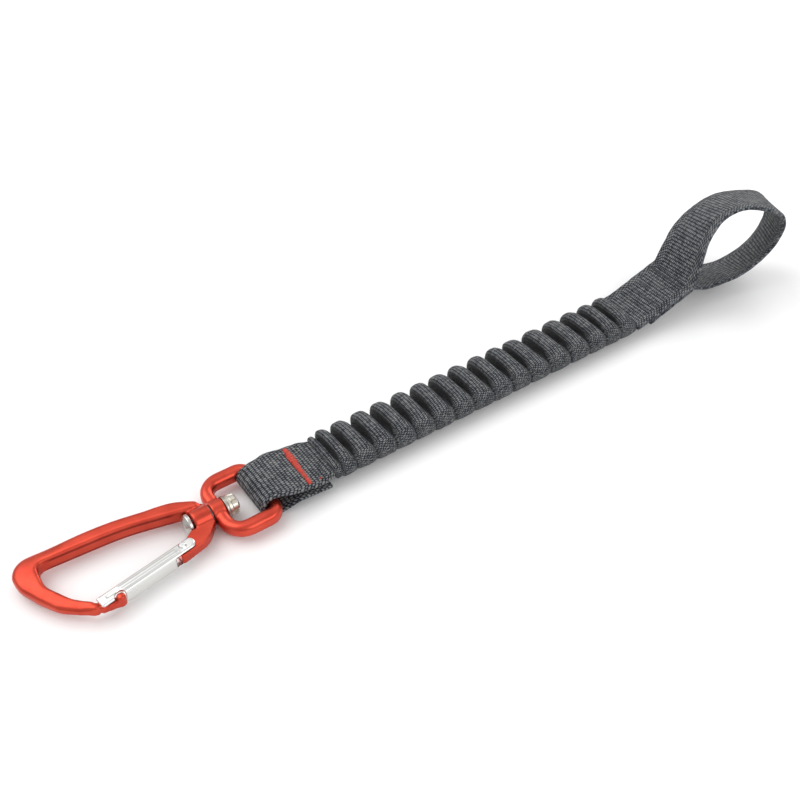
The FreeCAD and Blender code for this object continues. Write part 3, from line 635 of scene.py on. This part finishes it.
def emboss_gate(mesh):
    """Raises a rounded rib along both plates of the gate, and cuts the lower one back at the nose."""
    points = np.array([vertex.co[:] for vertex in mesh.vertices])
    centre, axis = points.mean(axis=0), long_axis(points)
    reach = max(abs(Vector((point - centre)[:2]).dot(axis)) for point in points)
    for vertex in mesh.vertices:
        offset = (vertex.co - Vector(centre)).to_2d()
        side = abs(offset.x * axis.y - offset.y * axis.x) * 1000
        inset = (reach - abs(offset.dot(axis))) * 1000
        rib = ease((RIB_HALF - side) / RIB_ROUND) * ease((inset - RIB_INSET) / RIB_FADE)
        if abs(vertex.co.z - METAL_MID) * 1000 > PLATE_OFF:
            vertex.co.z += math.copysign(RIB_RISE / 1000 * rib, vertex.co.z - METAL_MID)
        x, y = strap_xy(vertex.co)
        if (METAL_MID - vertex.co.z) * 1000 > LOWER_OFF and y < CUT_Y:
            vertex.co.y += (CUT_Y - y) / 1000 * CUT_SHARE * ease(-x / CUT_RUN)


for piece, node, body, slot, finish, voxel, rounds, reshape in [
        ("carabiner_body", "carabiner_frame", "carabiner", "anodised_red", red_frame, 0.38, 9, roll_bow),
        ("webbing_eye_body", "swivel_eye", "swivel", "anodised_orange_red", red_eye, 0.38, 9, None),
        ("gate_shell", "gate_channel", "gate", "gate_steel", gate_metal, 0.24, 2, emboss_gate)]:
    metal = softened(piece, node, voxel, rounds, finish, reshape, align=piece == "gate_shell")
    if reshape is roll_bow:
        mark_groove_shade(metal.data)
    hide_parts(node)
    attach(metal, body)


def closing_spring(name, node):
    """Copy of the gate's spring with its placement baked into its mesh; the CAD spring is hidden."""
    made = copy_of(name, node)
    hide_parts(node)
    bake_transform(made)


closing_spring("spring_coil", "gate_spring")


NUT_SLOTS, NUT_POINTS = 6, 144
SLOT_LEVEL, SLOT_FADE = 0.30, 0.22  # a slot is where a cosine wave round the nut is above this
# Along the nut: share of its length, then its radius between slots and in one, as shares of the whole.
NUT_PROFILE = [(0.0, 0.55, 0.55), (0.0, 0.95, 0.95), (0.06, 1.0, 1.0), (0.32, 1.0, 1.0),
               (0.38, 0.92, 0.92), (0.42, 0.90, 0.88), (0.46, 0.90, 0.62), (0.90, 0.88, 0.60),
               (1.0, 0.80, 0.58), (1.0, 0.56, 0.54), (0.86, 0.50, 0.50)]


def crown_nut(name, node, finish):
    """Castellated nut: a flange, then a crown cut by slots round the pin's end."""
    low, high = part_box(node)
    middle, radius = (low + high) / 2, (high.z - low.z) / 2
    rings = []
    for share, full, cut in NUT_PROFILE:
        x, ring = blend_between(low.x, high.x, share), []
        for j in range(NUT_POINTS):
            angle = -2 * math.pi * j / NUT_POINTS
            slot = ease((math.cos(NUT_SLOTS * angle) - SLOT_LEVEL) / SLOT_FADE)
            reach = radius * blend_between(full, cut, slot)
            ring.append(Vector((x, middle.y + reach * math.cos(angle), middle.z + reach * math.sin(angle))))
        rings.append(ring)
    # Metal has no weave, so these coordinates only fill the UV map.
    made = tube_mesh(name, rings, [j * 0.2 for j in range(NUT_POINTS + 1)],
                     [i * 0.4 for i in range(len(rings))], finish)
    made.data.polygons.foreach_set("use_smooth", [False] * len(made.data.polygons))
    return made


nut = crown_nut("nut_crown", "castle_nut", nut_metal)
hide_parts("castle_nut")
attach(nut, "swivel")


# ---- webbing round the eye --------------------------------------------------------------------------

FOLD_X, FOLD_Z, FOLD_RADIUS, FOLD_WIDTH = 61.0, 5.75, 4.6, 20.9
SPREAD_RUN = 11.0  # length over which the webbing spreads from the eye's width to its own
NECK_X, NECK_RUN, NECK_IN = 83.0, 5.0, 3.5  # where the upper layer draws in again, and by how much
# Middle line of both layers, as (X, Z), and a height between them.
UPPER_LAYER = [(65.5, 10.15), (70.0, 9.5), (74.0, 8.6), (78.0, 7.8), (83.0, 7.15), (87.7, 7.05)]
LOWER_LAYER = [(63.7, 1.35), (66.8, 2.9), (70.8, 4.4), (75.5, 4.2), (80.0, 3.75), (85.3, 3.45)]
LAYERS_PART_Z = 5.0


def fold_taper(centre):
    """Webbing width: squeezed inside the eye, full behind it, drawn in where the gathers begin."""
    drawn_in = NECK_IN * ease((centre.x - NECK_X) / NECK_RUN) if centre.z > LAYERS_PART_Z else 0.0
    spread = ease((centre.x - FOLD_X + 1) / SPREAD_RUN)
    return blend_between(FOLD_WIDTH, WEB_WIDTH, spread) - drawn_in


def full_width(centre):
    return WEB_WIDTH


fold_path = [(x, 0, z) for x, z in reversed(LOWER_LAYER)]
for turn in range(-90, -271, -30):
    angle = math.radians(turn)
    fold_path.append((FOLD_X + FOLD_RADIUS * math.cos(angle), 0, FOLD_Z + FOLD_RADIUS * math.sin(angle)))
fold_path += [(x, 0, z) for x, z in UPPER_LAYER]
eye_webbing = strip("webbing_at_eye", fold_path, [LEVEL] * len(fold_path), web_eye, fold_taper,
                    step=0.6, flutter=0.25)
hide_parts("eye_webbing")
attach(eye_webbing, "strap_near")


# ---- gathered sleeve --------------------------------------------------------------------------------

# Steps along X from the sleeve's start to the crest of each gather.
GATHER_SPACING = (5.2, 8.7, 9.9, 9.2, 9.6, 9.8, 10.2, 10.0, 10.1, 9.9, 9.8, 11.4, 11.7, 10.2, 9.1, 8.8)
SEAM_GATHER = (89.4, 91.2, 0.50)  # crest, end and fullness of the low gather at the near seam
HALF_WIDTH, HALF_HEIGHT = 12.4, 6.6
CRUMPLE = 0.22  # mean depth of the dimples on a crest
END_FLAT, END_DROP = 0.35, 1.2  # share of the height left, and the drop, at both ends of the sleeve
AROUND, PER_GATHER = 112, 32  # points round the sleeve, and rings along one gather


def sleeve_section(angle):
    """Outline of the sleeve: flattened and full at the far side, a rounder dome at the near side."""
    c, s = math.cos(angle), math.sin(angle)
    wide, tall = (0.72, 0.80) if c > 0 else (0.86, 0.92)
    return math.copysign(abs(c) ** wide, c) * HALF_WIDTH, math.copysign(abs(s) ** tall, s) * HALF_HEIGHT


def around_gather(angle):
    """For one direction round the sleeve: depth of the gap between gathers, as a share of the radius,
    and half width of a gather's crest, as a share of half the spacing."""
    c, s = math.cos(angle), math.sin(angle)
    side = (0.46, 0.80) if c > 0 else (0.11, 0.99)
    face = (0.60, 0.80) if s > 0 else (0.45, 0.85)
    share = abs(s) ** (2 if c > 0 else 3.4)
    return [blend_between(a, b, share) for a, b in zip(side, face)]


def sleeve_gathers():
    """Crest, end and fullness of each gather along the strap."""
    crests = list(SLEEVE_START + np.cumsum(GATHER_SPACING))
    ends = [(a + b) / 2 for a, b in zip(crests, crests[1:] + [2 * SLEEVE_END - crests[-1]])]
    return [SEAM_GATHER] + [(crest, end, 1.0) for crest, end in zip(crests, ends)]


def sleeve_rings():
    """The sleeve's rings of points, their distances along its top, and for each point a value that is low
    in the gaps between gathers, where shade is painted.
    """
    rings, along, folds = [], [], []
    low, distance = SLEEVE_START, 0.0
    gathers = sleeve_gathers()
    for number, (crest_x, high, full) in enumerate(gathers):
        swell = full * (1 + rng.uniform(-0.03, 0.02))
        lean = rng.uniform(-0.35, 0.35)
        skew = rng.uniform(-0.7, 0.7)
        seam, last = number == 0, number == len(gathers) - 1
        for step in range(PER_GATHER + (1 if last else 0)):
            phase = -math.cos(math.pi * step / PER_GATHER)
            x = blend_between(crest_x, high if phase > 0 else low, abs(phase))
            ends = ease((x - SLEEVE_START + 3.0) / 5.0) * ease((SLEEVE_END + 2.5 - x) / 5.0)
            crown = 1 - phase * phase
            ring = []
            for j in range(AROUND):
                angle = 2 * math.pi * j / AROUND
                c, s = math.cos(angle), math.sin(angle)
                depth, crest = around_gather(angle)
                depth *= 0.35 if seam else 1.0
                rise = (1 - min(abs(phase) / crest, 1.0) ** 2.8) ** (1 / 2.1)
                scale = 1 - depth + depth * rise
                # Low in the gaps between gathers, where the sleeve's colour gets painted shade.
                folds.append(1.0 if seam else 1 - (1 - rise) * min(depth / 0.5, 1))
                y, z = sleeve_section(angle)
                y, z = y * scale, z * scale * swell * blend_between(END_FLAT, 1, ends)
                crease = CRUMPLE * crown * ends
                spot = Vector((x * 0.35, y * 0.22, z * 0.35))
                y -= c * crease * (1 + noise.noise(spot))
                z -= s * crease * (1 + 1.6 * noise.noise(spot * 1.7))
                shift = (skew * c * crown + lean * s) * ends
                ring.append(place(x + shift, y, SLEEVE_MID + z - END_DROP * (1 - ends)))
            if rings:
                distance += (ring[AROUND // 4] - rings[-1][AROUND // 4]).length * 1000
            rings.append(ring)
            along.append(distance)
        low = high
    return rings, along, folds


def weave_around():
    """Weave coordinate of each point round the sleeve, by the section's real length: it falls from the
    far side to the near one and rises back, so that it meets itself."""
    section = [sleeve_section(angle) for angle in np.linspace(0, 2 * math.pi, AROUND + 1)]
    lengths = np.cumsum([0] + [math.dist(a, b) for a, b in zip(section, section[1:])])
    return [SLEEVE_QUARTER * (4 * abs(length / lengths[-1] - 0.5) - 1) for length in lengths]


rings, along, folds = sleeve_rings()
sleeve = tube_mesh("gathered_webbing", rings, weave_around(), along, web_sleeve)
# Value on each point for the painted shade in the gaps between gathers.
fold_shade = sleeve.data.color_attributes.new("fold_shade", "FLOAT_COLOR", "POINT")
fold_shade.data.foreach_set("color", np.repeat(folds, 4).astype(np.float32))
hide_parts("gathered_sleeve")
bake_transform(sleeve)

# The elastic starts between the webbing's two layers and runs on inside the sleeve.
core_path = [(76.5, 0, 6.15), (80, 0, 5.7), (84, 0, 5.25), (88, 0, 5.15), (92, 0, 5.9)]
core_path += [(x, 0, SLEEVE_MID) for x in range(98, int(SLEEVE_END) - 1, 12)]
core = strip("elastic_band", core_path, [LEVEL] * len(core_path), rubber, lambda centre: 18.0,
             thick=1.6, step=2.0)
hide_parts("elastic_core")
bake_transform(core)


# ---- sewn end and hand loop -------------------------------------------------------------------------

END_X, END_Z, END_SLOPE = 277.5, 14.4, math.radians(18.0)  # where the loop opens, and its rise
LAYER_LIFT = WEB_THICK / 2 + 0.08


def sewn(along, offset, y=0.0):
    """Point of the sewn end, measured back from where the loop opens, offset from its middle."""
    return Vector((END_X - along * math.cos(END_SLOPE) - offset * math.sin(END_SLOPE), y,
                   END_Z - along * math.sin(END_SLOPE) + offset * math.cos(END_SLOPE)))


far_path = [(SLEEVE_END + 0.3, 0, 6.4)] + [tuple(sewn(a, LAYER_LIFT)) for a in (24, 20, 15, 10, 5, 0)]
far_webbing = strip("webbing_sewn_end", far_path, [LEVEL] * len(far_path), web_far, full_width,
                    flutter=0.2)
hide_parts("far_webbing")
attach(far_webbing, "strap_far")

tail_path = [tuple(sewn(a, -LAYER_LIFT)) for a in (24.5, 18, 12, 6, 0)]
tail = strip("webbing_tail", tail_path, [LEVEL] * len(tail_path), web_tail, full_width, flutter=0.35)
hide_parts("loop_tail")
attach(tail, "strap_far")

# Middle line of the loop from its upper to its lower layer: X, Y, Z, then how far its width turns
# towards +X and how far it tips up at its far edge, in degrees.
LOOP_STATIONS = [
    (282.5, 0.5, 23.9, 2, -6), (287.4, 1.5, 34.0, 10, -12), (295.9, 1.5, 41.4, 15, -18),
    (306.7, -0.2, 44.4, 16, -16), (317.9, -4.0, 43.2, 19, -11), (327.1, -7.6, 39.6, 22, -6),
    (330.7, -9.5, 32.4, 32, -6), (328.9, -9.7, 24.2, 36, -10), (322.7, -7.9, 14.8, 34, -17),
    (312.0, -4.6, 8.1, 21, -21), (299.4, -1.6, 7.8, 9, -14), (288.4, -0.3, 10.5, 2, -4),
]
loop_path = [tuple(sewn(1.5, LAYER_LIFT)), tuple(sewn(-1.5, LAYER_LIFT))]
loop_sides = [LEVEL, LEVEL]
for x, y, z, turn, lean in LOOP_STATIONS:
    turn, lean = math.radians(turn), math.radians(lean)
    loop_path.append((x, y, z))
    loop_sides.append((math.sin(turn) * math.cos(lean), math.cos(turn) * math.cos(lean), math.sin(lean)))
loop_path += [tuple(sewn(-2.5, -LAYER_LIFT)), tuple(sewn(0, -LAYER_LIFT))]
loop_sides += [LEVEL, LEVEL]
loop = strip("webbing_hand_loop", loop_path, loop_sides, web_loop, full_width, flutter=0.2)
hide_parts("loop_webbing")
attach(loop, "strap_far")


# ---- stitching --------------------------------------------------------------------------------------

def upper_top(x, y):
    """Point on top of the upper layer behind the eye."""
    return Vector((x, y, np.interp(x, *zip(*UPPER_LAYER)) + WEB_THICK / 2))


BAR_RISE, ROW_RISE = 0.32, 0.22  # height of a thread's arch in a bar and in a row of stitches


def bar(top, middle, length, across, count, ragged, slant=0.0):
    """Dense bar of threads side by side, thinner at both ends: top(along, across) is the surface."""
    runs = []
    for i in range(count):
        y = across * (i / (count - 1) - 0.5) + rng.uniform(-0.08, 0.08)
        plump = 0.62 + 0.38 * math.sin(math.pi * min(1, (count - i) / count * 1.3) ** 0.8)
        reach = length / 2 * plump + rng.uniform(-ragged, ragged)
        slide = rng.uniform(-ragged, ragged) * 0.6 + slant * y
        runs.append((top(middle - reach + slide, y), top(middle + reach + slide, y + 0.3), BAR_RISE))
    return runs


def zigzag(top, middle, length, across, count):
    """Row of small slanted stitches across the strap."""
    runs = []
    for i in range(count):
        y = across * ((i + 0.5) / count - 0.5)
        tilt = length / 2 * (1 if i % 2 else -1)
        reach = across / count * 0.55
        runs.append((top(middle - tilt + rng.uniform(-0.1, 0.1), y - reach),
                     top(middle + tilt + rng.uniform(-0.1, 0.1), y + reach), ROW_RISE))
    return runs


RED_X = 77.3
red_runs = bar(upper_top, RED_X, length=3.0, across=21.6, count=64, ragged=0.26, slant=0.05)
# One loose thread end behind the bar.
red_runs.append((upper_top(81.0, -10.4), upper_top(82.6, -9.6), 0.4))
red_bar = stitches("stitch_bar_red", red_runs, red_thread)
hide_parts("red_bartack")
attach(red_bar, "strap_near")

near_runs = [run for x in (82.0, 84.5)
             for run in zigzag(upper_top, x, length=0.8, across=20, count=22)]
near_bar = stitches("stitch_rows_near", near_runs, grey_thread, 0.16)
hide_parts("near_bartack")
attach(near_bar, "strap_near")


def sewn_top(along, y):
    return sewn(along, LAYER_LIFT + WEB_THICK / 2, y)


def sewn_bottom(along, y):
    return sewn(along, -LAYER_LIFT - WEB_THICK / 2 - 0.1, y)


box_runs = [run for along in (7, 12, 17, 22)
            for run in zigzag(sewn_top, along, length=0.9, across=19, count=18)]
box_rows = stitches("stitch_rows_end", box_runs, grey_thread, 0.17)
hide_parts("box_stitch")
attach(box_rows, "strap_far")

bar_runs = [run for side in (sewn_top, sewn_bottom)
            for run in bar(side, 2.5, length=2.0, across=22, count=40, ragged=0.2)]
loop_bar = stitches("stitch_bar_loop", bar_runs, grey_thread, 0.17)
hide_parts("loop_bartack")
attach(loop_bar, "strap_far")


# ---- stage, light and camera ------------------------------------------------------------------------

def make_floor(reach):
    """Plain pale floor, in metres to each side."""
    mesh = bpy.data.meshes.new("floor")
    corners = [(-reach, -reach, 0), (reach, -reach, 0), (reach, reach, 0), (-reach, reach, 0)]
    mesh.from_pydata(corners, [], [(0, 1, 2, 3)])
    floor = bpy.data.objects.new("floor", mesh)
    bpy.context.scene.collection.objects.link(floor)
    paper, g, shader = material("paper", Roughness=0.9, Specular_IOR_Level=0.1)
    fibre = g.noise(g.node("ShaderNodeTexCoord").outputs["Object"], 4.0, 2)
    g.put(shader.inputs["Base Color"], g.ramp(fibre, [(0.3, grey(0.93)), (0.7, grey(0.95))]))
    mesh.materials.append(paper)
    return floor


def make_studio():
    """Soft white surroundings, darker towards the horizon."""
    world = bpy.data.worlds.new("studio")
    world.use_nodes = True
    g = Graph(world.node_tree)
    sky = world.node_tree.nodes["Background"]
    parts = g.node("ShaderNodeSeparateXYZ")
    g.put(parts.inputs[0], g.node("ShaderNodeTexCoord").outputs["Generated"])
    height = g.span(parts.outputs[2], -0.1, 1.0, 0.0, 1.0)
    g.put(sky.inputs["Color"], g.ramp(height, [(0.0, grey(0.52)), (0.25, grey(0.74)), (0.6, grey(1.0))]))
    sky.inputs["Strength"].default_value = 0.75
    bpy.context.scene.world = world


def area_light(name, where, size, power, at=(0, 0, 0.01)):
    """Rectangular light at a place in metres, turned to a point of the object."""
    data = bpy.data.lights.new(name, "AREA")
    data.shape = "RECTANGLE"
    data.size, data.size_y = size
    data.energy = power
    light = bpy.data.objects.new(name, data)
    light.location = where
    light.rotation_mode = "QUATERNION"
    light.rotation_quaternion = (Vector(at) - Vector(where)).to_track_quat("-Z", "Y")
    bpy.context.scene.collection.objects.link(light)


floor = make_floor(6.0)
make_studio()
area_light("key", (-0.5, 0.5, 0.9), (1.1, 1.1), 7.0)
area_light("fill", (0.3, -0.9, 0.7), (1.0, 0.6), 3.5)
area_light("rim", (0.8, 0.6, 0.5), (0.5, 0.8), 3.0)

# The photo's angle: turned about the upright from a view along +Y, and raised above the floor.
AIM = place(133.2, 11.1, 5.55)
VIEW_DISTANCE, VIEW_TURN, VIEW_HEIGHT = 0.444, math.radians(-34.8), math.radians(43.0)
camera_data = bpy.data.cameras.new("camera")
camera_data.lens, camera_data.sensor_width = 48.0, 36.0
camera_data.clip_start = 0.01
camera = bpy.data.objects.new("camera", camera_data)
level = math.cos(VIEW_HEIGHT)
back = Vector((math.sin(VIEW_TURN) * level, -math.cos(VIEW_TURN) * level, math.sin(VIEW_HEIGHT)))
camera.location = AIM + back * VIEW_DISTANCE
camera.rotation_mode = "QUATERNION"
camera.rotation_quaternion = (-back).to_track_quat("-Z", "Y")
bpy.context.scene.collection.objects.link(camera)
bpy.context.scene.camera = camera
bpy.context.scene.view_settings.view_transform = "Standard"
